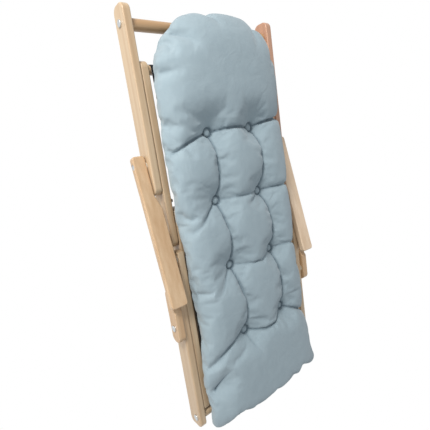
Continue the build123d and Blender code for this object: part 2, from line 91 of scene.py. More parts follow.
# Node trees
def srgb(r, g, b):
    """A screen colour, 0 to 255, as the linear colour that a shader takes."""
    def one(c):
        c = c / 255
        return c / 12.92 if c < 0.04045 else ((c + 0.055) / 1.055) ** 2.4
    return (one(r), one(g), one(b), 1)


def node(tree, kind, inputs=None, **settings):
    """Add a node. Each input gets a value, or the output socket that feeds it."""
    made = tree.nodes.new(kind)
    for name, value in settings.items():
        setattr(made, name, value)
    for key, value in (inputs or {}).items():
        if isinstance(value, bpy.types.NodeSocket):
            tree.links.new(value, made.inputs[key])
        else:
            made.inputs[key].default_value = value
    return made


def maths(tree, operation, *values):
    """The result of one sum on values or sockets."""
    return node(tree, "ShaderNodeMath", dict(enumerate(values)), operation=operation).outputs[0]


def new_group(name, kind, ins, outs):
    """An empty node group with named inputs and outputs."""
    tree = bpy.data.node_groups.new(name, kind)
    for label, socket_type, value in ins:
        socket = tree.interface.new_socket(name=label, in_out="INPUT", socket_type=socket_type)
        if value is not None:
            socket.default_value = value
    for label, socket_type in outs:
        tree.interface.new_socket(name=label, in_out="OUTPUT", socket_type=socket_type)
    return tree, tree.nodes.new("NodeGroupInput"), tree.nodes.new("NodeGroupOutput")


# Materials
def grain_group():
    """Beech: long fine streaks, short dark flecks and a faint board tone."""
    tree, ins, outs = new_group("beech_grain", "ShaderNodeTree", [
        ("Vector", "NodeSocketVector", None),
        ("Light", "NodeSocketColor", srgb(205, 184, 154)),
        ("Dark", "NodeSocketColor", srgb(179, 148, 113)),
        ("Fleck", "NodeSocketColor", srgb(176, 132, 92)),
    ], [("Color", "NodeSocketColor"), ("Height", "NodeSocketFloat")])

    def stretched(*amounts):
        scaled = node(tree, "ShaderNodeVectorMath", {0: ins.outputs["Vector"], 1: amounts},
                      operation="MULTIPLY")
        return scaled.outputs[0]

    streak = node(tree, "ShaderNodeTexNoise", {
        "Vector": stretched(95, 95, 2.6), "Scale": 1.0, "Detail": 6, "Roughness": 0.6})
    board = node(tree, "ShaderNodeTexNoise", {
        "Vector": stretched(22, 22, 1.3), "Scale": 1.0, "Detail": 3})
    half_board = maths(tree, "MULTIPLY", board.outputs["Fac"], 0.5)
    both = maths(tree, "MULTIPLY_ADD", streak.outputs["Fac"], 0.55, half_board)
    darkness = node(tree, "ShaderNodeMapRange", {
        "Value": both, "From Min": 0.36, "From Max": 0.70})
    tone = node(tree, "ShaderNodeMixRGB", {
        0: darkness.outputs[0], 1: ins.outputs["Light"], 2: ins.outputs["Dark"]})
    fleck = node(tree, "ShaderNodeTexVoronoi", {"Vector": stretched(520, 520, 60), "Scale": 1.0})
    fleck_share = node(tree, "ShaderNodeMapRange", {
        "Value": fleck.outputs["Distance"],
        "From Min": 0.10, "From Max": 0.30, "To Min": 0.34, "To Max": 0.0})
    flecked = node(tree, "ShaderNodeMixRGB", {
        0: fleck_share.outputs[0], 1: tone.outputs[0], 2: ins.outputs["Fleck"]})
    tree.links.new(flecked.outputs[0], outs.inputs["Color"])
    tree.links.new(streak.outputs["Fac"], outs.inputs["Height"])
    return tree


def weave_group():
    """Plain weave: crossed threads as a height, with a slubby tone."""
    tree, ins, outs = new_group("plain_weave", "ShaderNodeTree", [
        ("Vector", "NodeSocketVector", None),
        ("Threads", "NodeSocketFloat", 900.0),
        ("Base", "NodeSocketColor", srgb(150, 168, 178)),
        ("Deep", "NodeSocketColor", srgb(126, 146, 158)),
    ], [("Color", "NodeSocketColor"), ("Height", "NodeSocketFloat")])
    place = node(tree, "ShaderNodeSeparateXYZ", {0: ins.outputs["Vector"]})
    threads = ins.outputs["Threads"]
    across = maths(tree, "SINE", maths(tree, "MULTIPLY", place.outputs["X"], threads))
    along = maths(tree, "SINE", maths(tree, "MULTIPLY", place.outputs["Z"], threads))
    slub = node(tree, "ShaderNodeTexNoise", {
        "Vector": ins.outputs["Vector"], "Scale": 38, "Detail": 5})
    tone = node(tree, "ShaderNodeMixRGB", {
        0: slub.outputs["Fac"], 1: ins.outputs["Base"], 2: ins.outputs["Deep"]})
    tree.links.new(tone.outputs[0], outs.inputs["Color"])
    tree.links.new(maths(tree, "MULTIPLY", across, along), outs.inputs["Height"])
    return tree


GRAIN = grain_group()
WEAVE = weave_group()


def new_material(name, rough, metallic=0.0):
    """A material with its node tree, its shader and the piece's own coordinates."""
    material = bpy.data.materials.new(name)
    material.use_nodes = True
    tree = material.node_tree
    shader = tree.nodes["Principled BSDF"]
    shader.inputs["Roughness"].default_value = rough
    shader.inputs["Metallic"].default_value = metallic
    return material, tree, shader, node(tree, "ShaderNodeTexCoord").outputs["Object"]


def wood(name, light=None, dark=None, turn=(0, 0, 0), offset=0.0):
    """Oiled beech. The grain runs along Z unless it is turned."""
    material, tree, shader, place = new_material(name, 0.42)
    mapping = node(tree, "ShaderNodeMapping", {
        0: place, "Rotation": turn, "Location": (offset, offset * 0.7, offset * 1.3)})
    grain = node(tree, "ShaderNodeGroup", node_tree=GRAIN)
    tree.links.new(mapping.outputs[0], grain.inputs["Vector"])
    if light:
        grain.inputs["Light"].default_value = light
        grain.inputs["Dark"].default_value = dark
    bump = node(tree, "ShaderNodeBump", {
        "Strength": 0.12, "Distance": 0.4 * MM, "Height": grain.outputs["Height"]})
    tree.links.new(grain.outputs["Color"], shader.inputs["Base Color"])
    tree.links.new(bump.outputs[0], shader.inputs["Normal"])
    shader.inputs["Coat Weight"].default_value = 0.25
    shader.inputs["Coat Roughness"].default_value = 0.3
    return material


def woven(name, base, deep, threads, rough, strength, painted_fold_shade=False):
    """Woven cloth with fine and broad creases. Its folds can be darkened with painted shade."""
    material, tree, shader, place = new_material(name, rough)
    weave = node(tree, "ShaderNodeGroup", node_tree=WEAVE)
    tree.links.new(place, weave.inputs["Vector"])
    weave.inputs["Base"].default_value = base
    weave.inputs["Deep"].default_value = deep
    weave.inputs["Threads"].default_value = threads
    fluff = node(tree, "ShaderNodeTexNoise", {"Vector": place, "Scale": 260, "Detail": 4})
    surface = maths(tree, "MULTIPLY_ADD", weave.outputs["Height"], 0.35, fluff.outputs["Fac"])
    crumple = node(tree, "ShaderNodeTexNoise", {
        "Vector": place, "Scale": 17, "Detail": 3, "Distortion": 1.6})
    creases = node(tree, "ShaderNodeBump", {
        "Strength": 0.5 * strength, "Distance": 12 * MM, "Height": crumple.outputs["Fac"]})
    bump = node(tree, "ShaderNodeBump", {
        "Strength": strength, "Distance": 0.6 * MM, "Height": surface,
        "Normal": creases.outputs[0]})
    tree.links.new(bump.outputs[0], shader.inputs["Normal"])
    colour = weave.outputs["Color"]
    if painted_fold_shade:
        # Painted shade: the colour is multiplied darker where the stored fold mask is high
        fold_shade_attribute = node(tree, "ShaderNodeAttribute", attribute_name="fold")
        shade = node(tree, "ShaderNodeMixRGB", {
            0: fold_shade_attribute.outputs["Fac"], 1: colour, 2: (0.40, 0.44, 0.48, 1)}, blend_type="MULTIPLY")
        colour = shade.outputs[0]
    tree.links.new(colour, shader.inputs["Base Color"])
    shader.inputs["Sheen Weight"].default_value = 0.25
    shader.inputs["Sheen Roughness"].default_value = 0.5
    shader.inputs["Specular IOR Level"].default_value = 0.2
    return material


def mottled(name, light, dark, scale, rough, metallic=0.0):
    """A smooth finish whose tone varies a little, for metal and moulded plastic."""
    material, tree, shader, place = new_material(name, rough, metallic)
    noise = node(tree, "ShaderNodeTexNoise", {"Vector": place, "Scale": scale})
    tone = node(tree, "ShaderNodeMixRGB", {0: noise.outputs["Fac"], 1: light, 2: dark})
    tree.links.new(tone.outputs[0], shader.inputs["Base Color"])
    return material


ALONG_X = (0, math.radians(90), 0)
RAIL_BEECH = [wood(f"beech_{k}", offset=0.37 * k) for k in range(4)]
ROD_BEECH = wood("beech_rod", turn=ALONG_X, offset=0.2)
ARM_BEECH = wood("beech_arm", srgb(206, 177, 142), srgb(180, 144, 105), offset=1.9)
HANDLE_BEECH = wood(
    "beech_handle", srgb(196, 162, 122), srgb(170, 134, 96), turn=ALONG_X, offset=0.7)
PALE_BEECH = wood("beech_pale", srgb(232, 209, 182), srgb(206, 177, 144), offset=2.4)
# Painted shade: a darker, redder copy of the beech for the right rails' inner faces, which stand in
# shade
SHADED_RIGHT_BEECH = wood("beech_painted_shade", srgb(196, 152, 124), srgb(166, 122, 98), offset=3.1)
ZINC = mottled("zinc", srgb(208, 212, 214), srgb(184, 189, 192), 420, 0.34, 1.0)
NYLON = mottled("nylon", srgb(226, 222, 210), srgb(214, 210, 198), 90, 0.5)
# The cushion cotton carries painted shade in its folds and round its buttons
COTTON = woven(
    "cushion_cotton", srgb(156, 172, 179), srgb(144, 161, 169), 1500, 0.92, 0.35, painted_fold_shade=True)
CANVAS = woven("sling_canvas", srgb(20, 23, 28), srgb(12, 14, 18), 1200, 0.85, 0.3)

RODS = ("sling_top_dowel", "seat_front_rod", "front_foot_rod", "rear_foot_rod")
# The right back rails, which take the beech with painted shade
SHADED_RIGHT_RAILS = ("right_outer_back_rail", "right_inner_back_rail")


def finish_for(name, number):
    """The material of a node."""
    own = {"carry_handle_rod": HANDLE_BEECH, "right_armrest": PALE_BEECH}
    if name in own:
        return own[name]
    if name in RODS or "peg" in name:
        return ROD_BEECH
    if "washer" in name:
        return NYLON
    if any(word in name for word in ("bolts", "screws", "arm_bracket", "post_pin")):
        return ZINC
    if name.endswith(("armrest", "arm_post")):
        return ARM_BEECH
    if name in SHADED_RIGHT_RAILS:
        return SHADED_RIGHT_BEECH
    if "cushion" in name or "buttons" in name:
        return COTTON
    if name.startswith("sling_"):
        return CANVAS
    return RAIL_BEECH[number % len(RAIL_BEECH)]


for number, (name, piece) in enumerate(sorted(nodes.items())):
    piece.data.materials.clear()
    piece.data.materials.append(finish_for(name, number))


# Meshes
def apply_all(piece):
    """Turn a piece and its modifiers into a plain mesh."""
    depsgraph = bpy.context.evaluated_depsgraph_get()
    mesh = bpy.data.meshes.new_from_object(piece.evaluated_get(depsgraph))
    piece.modifiers.clear()
    piece.data = mesh


def coords(piece):
    """The places of a piece's points, one row each."""
    places = np.empty(len(piece.data.vertices) * 3)
    piece.data.vertices.foreach_get("co", places)
    return places.reshape(-1, 3)


def set_coords(piece, places):
    piece.data.vertices.foreach_set("co", places.reshape(-1))
    piece.data.update()


def shell_faces(rows, columns, sides):
    """Faces of two facing grids of points, joined along their ends and maybe their sides."""
    size = rows * columns
    faces = []
    for a in range(rows - 1):
        for b in range(columns - 1):
            p = a * columns + b
            q = p + size
            faces.append((p, p + 1, p + columns + 1, p + columns))
            faces.append((q, q + columns, q + columns + 1, q + 1))
        if sides:
            p = a * columns
            faces.append((p, p + columns, p + columns + size, p + size))
            p = a * columns + columns - 1
            faces.append((p, p + size, p + columns + size, p + columns))
    for b in range(columns - 1):
        faces.append((b, b + size, b + 1 + size, b + 1))
        p = (rows - 1) * columns + b
        faces.append((p, p + 1, p + 1 + size, p + size))
    return faces


def mesh_object(name, points, faces, material, merge=0.0):
    """A closed piece with its faces turned outwards."""
    mesh = bpy.data.meshes.new(name)
    mesh.from_pydata([tuple(point) for point in points], [], faces)
    mesh.materials.append(material)
    mesh.validate()
    bm = bmesh.new()
    bm.from_mesh(mesh)
    if merge:
        bmesh.ops.remove_doubles(bm, verts=bm.verts, dist=merge)
    bmesh.ops.recalc_face_normals(bm, faces=bm.faces)
    bm.to_mesh(mesh)
    bm.free()
    piece = bpy.data.objects.new(name, mesh)
    scene.collection.objects.link(piece)
    return piece


def bell(value, middle, width):
    """1 at the middle, falling smoothly to 0 on both sides."""
    return np.exp(-(((value - middle) / width) ** 2))


# The pad's outline: half of its width, its top, and the height where its head starts
PAD_HALF = 214 * MM
PAD_TOP = 1186 * MM
PAD_HEAD = 1022 * MM
# The pad's greatest depth, and that of its seamed edge
PAD_DEPTH = 84 * MM
PAD_SEAM = 20 * MM
# How round the head is: powers of height and width in its outline
HEAD_RISE, HEAD_REACH = 2.5, 2.3
# Width that the foot gains, at a height, over a stretch
FOOT_FLARE = (12 * MM, 22 * MM, 60 * MM)
# Rows whose stitches draw the sides in, and how much, over a stretch
WAIST_ROWS = (892 * MM, 212 * MM)
WAIST_PULL, WAIST_REACH = 4 * MM, 16 * MM
# Places where only the left side moves: outwards, at a height, over a stretch
LEFT_SHIFTS = [(14 * MM, 150 * MM, 100 * MM), (-14 * MM, 1105 * MM, 45 * MM)]
# How far the pad hangs to one side, by height, in millimetres
LEAN_HEIGHTS = [0, 120, 270, 480, 675, 865, 1100, 1190]
LEAN_SIDES = [0, -3, -8, -13, -17, -14, -10, -8]

# Covered buttons, row by row from the head, left then right: X, Z in millimetres
TUFTS = [(-96, 864), (59, 867), (-104, 676), (59, 674),
         (-91, 480), (76, 482), (-74, 264), (90, 276)]
# Stitched and pressed folds: depth at each end, then the line in X, Z, in millimetres
FOLDS = [
    (20, 20, [(-96, 864), (-92, 825), (-90, 766), (-94, 719), (-104, 676)]),
    (20, 20, [(59, 867), (76, 826), (82, 771), (74, 721), (59, 674)]),
    (20, 20, [(-104, 676), (-96, 621), (-88, 564), (-87, 523), (-91, 480)]),
    (17, 20, [(59, 674), (80, 620), (92, 568), (90, 524), (76, 482)]),
    (20, 20, [(-91, 480), (-78, 404), (-66, 355), (-66, 305), (-74, 264)]),
    (17, 20, [(76, 482), (94, 392), (99, 342), (96, 303), (90, 276)]),
    (24, 7, [(-96, 864), (-140, 854), (-180, 840), (-212, 820)]),
    (22, 22, [(-96, 864), (-55, 868), (-14, 872), (59, 867)]),
    (20, 14, [(59, 867), (104, 877), (145, 884), (190, 892)]),
    (18, 4, [(-104, 676), (-145, 648), (-175, 626), (-205, 606)]),
    (12, 12, [(-104, 676), (-66, 677), (-10, 675), (59, 674)]),
    (16, 10, [(59, 674), (110, 677), (200, 676)]),
    (12, 4, [(59, 674), (20, 656), (-16, 645)]),
    (16, 3, [(-91, 480), (-128, 446), (-158, 414)]),
    (11, 11, [(-91, 480), (-36, 472), (25, 468), (76, 482)]),
    (13, 6, [(76, 482), (130, 484), (200, 480)]),
    (20, 20, [(-74, 264), (-18, 247), (42, 246), (90, 276)]),
    (19, 15, [(90, 276), (146, 248), (205, 212)]),
    (22, 5, [(-74, 264), (-120, 262), (-164, 246), (-192, 220)]),
    (4, 18, [(-160, 188), (-186, 162), (-212, 130)]),
    (12, 2, [(-74, 264), (-66, 220), (-40, 170)]),
]
# Places round the head where the seam is gathered: degrees from straight up,
# towards the right, and how far the rim draws in, in millimetres
GATHERS = [(-73, 6), (-44, 8), (-11, 9), (32, 7), (58, 6)]
GATHER_WIDTH = 5
# Share of the way to the rim, and height, from which the gathers act
GATHER_START, GATHER_FLOOR = 0.3, 900 * MM
HEAD_X, HEAD_Z = -9, 960
# A short crease runs in from each gather: radius in millimetres and bend in radians
CREASE = ((218, 0), (190, 0.03), (156, 0.12))
for degrees, pull in GATHERS:
    angle = math.radians(degrees)
    FOLDS.append((pull + 2, 1, [
        (HEAD_X + radius * math.sin(angle + bend), HEAD_Z + radius * math.cos(angle + bend))
        for radius, bend in CREASE
    ]))


def lean(z):
    """How far the pad hangs to one side at a height."""
    return np.interp(z, np.array(LEAN_HEIGHTS) * MM, np.array(LEAN_SIDES) * MM)


def half_width(z):
    """Half of the pad's width at a height: straight sides, a round head, a flared foot."""
    rise = np.clip((z - PAD_HEAD) / (PAD_TOP - PAD_HEAD), 0, 1)
    head = PAD_HALF * np.power(np.clip(1 - rise ** HEAD_RISE, 0, 1), 1 / HEAD_REACH)
    width = np.where(z > PAD_HEAD, head, PAD_HALF)
    gain, height, stretch = FOOT_FLARE
    width = width + gain * bell(z, height, stretch)
    for row in WAIST_ROWS:
        width = width - WAIST_PULL * bell(z, row, WAIST_REACH)
    return width


def smooth_line(line):
    """A rounded line through the given places, in metres."""
    corners = np.array(line, float) * MM
    count = len(corners)
    steps = np.linspace(0, count - 1, 8 * (count - 1) + 1)
    x = np.interp(steps, np.arange(count), corners[:, 0])
    z = np.interp(steps, np.arange(count), corners[:, 1])
    for _ in range(14):
        x[1:-1] = 0.5 * x[1:-1] + 0.25 * (x[:-2] + x[2:])
        z[1:-1] = 0.5 * z[1:-1] + 0.25 * (z[:-2] + z[2:])
    return np.stack([x, z], axis=1)


def fold_distance(x, z):
    """For each fold: how far a point is from it, and how deep the fold is there."""
    for first, last, line in FOLDS:
        points = smooth_line(line)
        best = np.full(x.shape, np.inf)
        share = np.zeros_like(x)
        count = len(points) - 1
        for k in range(count):
            ax, az = points[k]
            dx, dz = points[k + 1] - points[k]
            along = np.clip(((x - ax) * dx + (z - az) * dz) / (dx * dx + dz * dz), 0, 1)
            distance = np.hypot(x - ax - along * dx, z - az - along * dz)
            nearer = distance < best
            best = np.where(nearer, distance, best)
            share = np.where(nearer, (k + along) / count, share)
        depth = (first + (last - first) * share) * MM
        if first == last:
            # a fold between two buttons is shallower half way
            depth = depth * (1 - 0.3 * np.sin(math.pi * share))
        yield best, depth


# How far a fold sinks the cover round it, and how far a button pulls it in
FOLD_REACH = 12 * MM
TUFT_PULL, TUFT_REACH, TUFT_EYE = 46 * MM, 30 * MM, 5 * MM
LESSER_SHARE = 0.35
# The stitched line in a fold, its half width, and the depths at which it starts and is full
LINE_WIDTH, LINE_SINK = 2.9 * MM, 5.5 * MM
LINE_START, LINE_FULL = 3 * MM, 18 * MM
# The crease round a button
RING_RADIUS, RING_WIDTH = 11 * MM, 3 * MM


def tuft_drop(x, z):
    """How far the folds and buttons sink the front."""
    drop = np.zeros_like(x)
    for distance, depth in fold_distance(x, z):
        drop = np.maximum(drop, depth * np.exp(-distance / FOLD_REACH))
    pull = np.zeros_like(x)
    for across, height in TUFTS:
        distance = np.sqrt((x - across * MM) ** 2 + (z - height * MM) ** 2 + TUFT_EYE ** 2)
        pull = np.maximum(pull, TUFT_PULL * np.exp(-distance / TUFT_REACH))
    return np.maximum(drop, pull) + LESSER_SHARE * np.minimum(drop, pull)


def stitched_line(x, z):
    """0 to 1 close to a fold's line, and again round each button."""
    line = np.zeros_like(x)
    for distance, depth in fold_distance(x, z):
        strength = np.clip((depth - LINE_START) / (LINE_FULL - LINE_START), 0, 1)
        line = np.maximum(line, strength * bell(distance, 0, LINE_WIDTH))
    for across, height in TUFTS:
        distance = np.hypot(x - across * MM, z - height * MM)
        line = np.maximum(line, bell(distance, RING_RADIUS, RING_WIDTH))
    return line


def gather_rim(places):
    """Draw the rim of the head in at each gather."""
    x, z = places[:, 0] - lean(places[:, 2]), places[:, 2]
    above = z - HEAD_Z * MM
    rise = np.clip((z - PAD_HEAD) / (PAD_TOP - PAD_HEAD), 0, 1)
    # 1 on the head's outline, 0 in its middle
    reach = np.power(np.abs(x) / PAD_HALF, HEAD_REACH) + rise ** HEAD_RISE
    near_rim = np.clip((reach - GATHER_START) / (1 - GATHER_START), 0, 1) ** 2 * (z > GATHER_FLOOR)
    angle = np.degrees(np.arctan2(x, above))
    pull = np.zeros_like(x)
    for degrees, depth in GATHERS:
        pull = np.maximum(pull, depth * MM * bell(angle, degrees, GATHER_WIDTH))
    share = pull * near_rim / np.maximum(np.hypot(x, above), 1 * MM)
    places[:, 0] = places[:, 0] - x * share
    places[:, 2] = places[:, 2] - above * share
    return places


# The pad's grid: levels in its foot, its length and its head, and points across
FOOT_LEVELS, BODY_LEVELS, HEAD_LEVELS, PAD_ACROSS = 12, 160, 28, 84
FOOT_HEIGHT = 40 * MM
HEAD_END_SHARE = 0.985
# Heights over which its depth rounds off at the foot and the head
FOOT_ROUND, HEAD_ROUND = 46 * MM, 120 * MM
FOOT_DEPTH_SHARE = 0.55
SEAM_SHARE_AT_TOP = 0.7
# Powers of the half round across: how full the front is, how far the folds run to
# the sides, and how flat the back is
FRONT_FULLNESS, FOLD_RUN, BACK_FLATNESS = 0.80, 0.35, 0.45
# Keeps a square root off zero
TINY = 1e-6
PAD_CLEARANCE = 1.0 * MM
WELD = 0.3 * MM


def build_cushion():
    """The pad before it swells: a crowned and tufted front, and a nearly flat back."""
    levels = np.concatenate([
        np.linspace(0, FOOT_HEIGHT, FOOT_LEVELS, endpoint=False),
        np.linspace(FOOT_HEIGHT, PAD_HEAD, BODY_LEVELS, endpoint=False),
        PAD_HEAD + (PAD_TOP - PAD_HEAD)
        * np.sin(np.linspace(0, 0.5 * math.pi * HEAD_END_SHARE, HEAD_LEVELS)),
    ])
    turns = np.linspace(-math.pi / 2, math.pi / 2, PAD_ACROSS)
    z, turn = np.meshgrid(levels, turns, indexing="ij")
    x = half_width(z) * np.sin(turn) + lean(z)
    for shift, height, stretch in LEFT_SHIFTS:
        x = x - shift * bell(z, height, stretch) * np.clip(-np.sin(turn), 0, 1)
    low = np.clip(z / FOOT_ROUND, 0, 1)
    high = np.clip((PAD_TOP - z) / HEAD_ROUND, 0, 1)
    foot_cap = FOOT_DEPTH_SHARE + (1 - FOOT_DEPTH_SHARE) * np.sqrt(1 - (1 - low) ** 2)
    head_cap = np.sqrt(1 - (1 - high) ** 2 + TINY)
    middle = np.clip(np.cos(turn), 0, 1)
    seam = PAD_SEAM * (SEAM_SHARE_AT_TOP + (1 - SEAM_SHARE_AT_TOP) * high)
    front = seam + (PAD_DEPTH - seam) * np.power(middle, FRONT_FULLNESS) * (foot_cap * head_cap)
    front = front - tuft_drop(x, z) * np.power(middle, FOLD_RUN)
    back = seam * (1 - np.power(middle, BACK_FLATNESS) * np.sqrt(high + TINY))
    plane = cloth_y(z) - PAD_CLEARANCE
    points = np.concatenate([
        np.stack([x, plane - depth, z], axis=-1).reshape(-1, 3) for depth in (front, back)
    ])
    faces = shell_faces(len(levels), PAD_ACROSS, sides=False)
    return mesh_object("quilted_cushion", points, faces, COTTON, merge=WELD)


VOXEL = 7 * MM
CLOTH = dict(
    quality=7, mass=0.3, use_pressure=True, uniform_pressure_force=4.0,
    tension_stiffness=18, compression_stiffness=18, shear_stiffness=8, bending_stiffness=0.25,
    shrink_min=-0.055, pin_stiffness=1.0,
)
CLOTH_FRAMES = 20
CLOTH_MOTION = 26 * MM
# What is held while the pad swells: its back, the cover round each button, and the folds
HELD_BACK, HELD_TUFT = 8 * MM, 12 * MM
HELD_FOLD_START, HELD_FOLD_FULL, HELD_FOLD_SHARE = 10 * MM, 16 * MM, 0.6


def held_points(places):
    """How firmly each point is held while the pad swells, 0 to 1."""
    x, y, z = places.T
    hold = np.zeros(len(places))
    hold[cloth_y(z) - y < HELD_BACK] = 1.0
    for across, height in TUFTS:
        hold[np.hypot(x - across * MM, z - height * MM) < HELD_TUFT] = 1.0
    fold = (tuft_drop(x, z) - HELD_FOLD_START) / (HELD_FOLD_FULL - HELD_FOLD_START)
    return np.maximum(hold, np.clip(fold, 0, 1) * HELD_FOLD_SHARE)


def swell(pad):
    """Blow the pad up as cloth, and return where its points come to lie."""
    rest = coords(pad)
    hold = held_points(rest)
    pins = pad.vertex_groups.new(name="pins")
    for index in np.nonzero(hold > 0)[0]:
        pins.add([int(index)], float(hold[index]), "REPLACE")
    cloth = pad.modifiers.new("cloth", "CLOTH")
    for name, value in CLOTH.items():
        setattr(cloth.settings, name, value)
    cloth.settings.vertex_group_mass = "pins"
    cloth.settings.effector_weights.gravity = 0
    cloth.collision_settings.use_collision = False
    cloth.point_cache.frame_start = 1
    cloth.point_cache.frame_end = CLOTH_FRAMES
    for number in range(1, CLOTH_FRAMES + 1):
        scene.frame_set(number)
    apply_all(pad)
    scene.frame_set(1)
    step = coords(pad) - rest
    length = np.linalg.norm(step, axis=1, keepdims=True)
    # the motion levels off at its cap
    eased = CLOTH_MOTION * np.tanh(length / CLOTH_MOTION)
    return rest + step * eased / np.maximum(length, TINY * MM)


# The pad stays in front of the sling, between these sides, and off the floor and the top
SLING_CLEARANCE = 0.6 * MM
PAD_LEFT, PAD_RIGHT = -240 * MM, 236 * MM
PAD_FLOOR, PAD_CEILING = 0.5 * MM, 1196 * MM
# Its front may stand this far past the first box, and levels off over a stretch
FRONT_PROUD, FRONT_EASE = 8 * MM, 20 * MM


def keep_inside(places):
    """Hold the swollen pad inside its space."""
    places[:, 1] = np.minimum(places[:, 1], cloth_y(places[:, 2]) - SLING_CLEARANCE)
    places[:, 0] = np.clip(places[:, 0], PAD_LEFT, PAD_RIGHT)
    places[:, 2] = np.clip(places[:, 2], PAD_FLOOR, PAD_CEILING)
    level = first_box[0][1] - FRONT_PROUD + FRONT_EASE
    over = np.maximum(level - places[:, 1], 0)
    eased = level - FRONT_EASE * np.tanh(over / FRONT_EASE)
    places[:, 1] = np.where(over > 0, eased, places[:, 1])
    return places


# Only the front of the cover is creased: how steeply that fades in with the way it
# faces, and the depth in front of the sling from which it counts
FACING_GAIN, FACING_DEPTH = 1.6, 16 * MM
# The lower right corner is drawn out: its place, its size, and how far it moves
CORNER_X, CORNER_Z = 205 * MM, 25 * MM
CORNER_WIDTH, CORNER_HEIGHT = 42 * MM, 38 * MM
CORNER_OUT, CORNER_DOWN = 11 * MM, 9 * MM
CORNER_LIMIT = 238 * MM
# The pad lies over the rails where it is wider than the gap between them: depth of
# what it lies on at four heights, in front of the top dowel's middle
GAP_HALF = 210.5 * MM
RAIL_HEIGHTS = [0.485, 0.515, 0.575, 0.60]
RAIL_FRONTS = [37.6, 48.0, 48.0, 17.6]


def crease(pad):
    """Sink the stitched lines, gather the head, draw out a corner, rest on the rails and store the
    folds' painted shade.
    """
    places = coords(pad)
    normals = np.empty(len(places) * 3)
    pad.data.vertices.foreach_get("normal", normals)
    normals = normals.reshape(-1, 3)
    proud = cloth_y(places[:, 2]) - places[:, 1] > FACING_DEPTH
    facing = np.clip(-normals[:, 1] * FACING_GAIN, 0, 1) * proud
    # This mask sinks the cover and also sets the painted shade in the folds
    line = stitched_line(places[:, 0], places[:, 2]) * facing
    places = gather_rim(places - normals * (line * LINE_SINK)[:, None])
    corner = bell(places[:, 0], CORNER_X, CORNER_WIDTH) * bell(places[:, 2], CORNER_Z, CORNER_HEIGHT)
    places[:, 0] = np.minimum(places[:, 0] + CORNER_OUT * corner, CORNER_LIMIT)
    places[:, 2] = np.maximum(places[:, 2] - CORNER_DOWN * corner, PAD_FLOOR)
    front = SHIFT - np.interp(places[:, 2], RAIL_HEIGHTS, RAIL_FRONTS) * MM
    wide = np.abs(places[:, 0]) > GAP_HALF
    places[:, 1] = np.where(wide, np.minimum(places[:, 1], front), places[:, 1])
    set_coords(pad, places)
    # Painted shade: the stitched-line mask, stored for the cotton to darken its folds and button
    # rings
    fold_shade_attribute = pad.data.attributes.new("fold", "FLOAT", "POINT")
    fold_shade_attribute.data.foreach_set("value", line.astype(np.float32))


# Cushion
cushion = build_cushion()
remesh = cushion.modifiers.new("remesh", "REMESH")
remesh.mode = "VOXEL"
remesh.voxel_size = VOXEL
apply_all(cushion)
swollen = swell(cushion)
set_coords(cushion, keep_inside(swollen))
finer = cushion.modifiers.new("finer", "SUBSURF")
finer.levels = 1
finer.render_levels = 1
apply_all(cushion)
crease(cushion)
cushion.data.shade_smooth()
cushion.data.materials.clear()
cushion.data.materials.append(COTTON)
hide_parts("cushion_back", "cushion_seat")
cover = coords(cushion)
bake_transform(cushion)

# Covered buttons: radius, half thickness, how far the middle sits behind the cover,
# and the pleats round the edge
BUTTON = {
    "Radius": 10 * MM, "Half Thickness": 5.5 * MM, "Sink": 1.5 * MM,
    "Pleats": 8.0, "Pleat Share": 0.03,
}
BUTTON_SEGMENTS, BUTTON_RINGS = 28, 16
# The cover near a button's middle that it lies on, and how far that stands off the sling
BUTTON_SEAT, BUTTON_STAND = 8 * MM, 20 * MM
BUTTON_DEPTH = 50 * MM


def button_tree():
    """A covered button on each point of a mesh, flat and pleated round its edge."""
    sizes = [(label, "NodeSocketFloat", value) for label, value in BUTTON.items()]
    tree, ins, outs = new_group(
        "covered_button", "GeometryNodeTree",
        [("Points", "NodeSocketGeometry", None)] + sizes, [("Buttons", "NodeSocketGeometry")])
    radius = ins.outputs["Radius"]
    ball = node(tree, "GeometryNodeMeshUVSphere", {
        "Segments": BUTTON_SEGMENTS, "Rings": BUTTON_RINGS, "Radius": 1.0})
    place = node(tree, "GeometryNodeInputPosition")
    x, y, z = node(tree, "ShaderNodeSeparateXYZ", {0: place.outputs[0]}).outputs
    turns = maths(tree, "MULTIPLY", maths(tree, "ARCTAN2", z, x), ins.outputs["Pleats"])
    wave = maths(tree, "MULTIPLY", maths(tree, "COSINE", turns), ins.outputs["Pleat Share"])
    rim = maths(tree, "SUBTRACT", 1.0, maths(tree, "ABSOLUTE", y))
    pleated = maths(tree, "MULTIPLY_ADD", maths(tree, "MULTIPLY", wave, rim), radius, radius)
    thick = maths(tree, "MULTIPLY_ADD", y, ins.outputs["Half Thickness"], ins.outputs["Sink"])
    shape = node(tree, "ShaderNodeCombineXYZ", {
        0: maths(tree, "MULTIPLY", x, pleated), 1: thick, 2: maths(tree, "MULTIPLY", z, pleated)})
    button = node(tree, "GeometryNodeSetPosition", {
        "Geometry": ball.outputs["Mesh"], "Position": shape.outputs[0]})
    soft = node(tree, "GeometryNodeSetShadeSmooth", {"Geometry": button.outputs[0]})
    placed = node(tree, "GeometryNodeInstanceOnPoints", {
        "Points": ins.outputs["Points"], "Instance": soft.outputs[0]})
    whole = node(tree, "GeometryNodeRealizeInstances", {"Geometry": placed.outputs[0]})
    covered = node(tree, "GeometryNodeSetMaterial", {
        "Geometry": whole.outputs[0], "Material": COTTON})
    tree.links.new(covered.outputs[0], outs.inputs["Buttons"])
    return tree


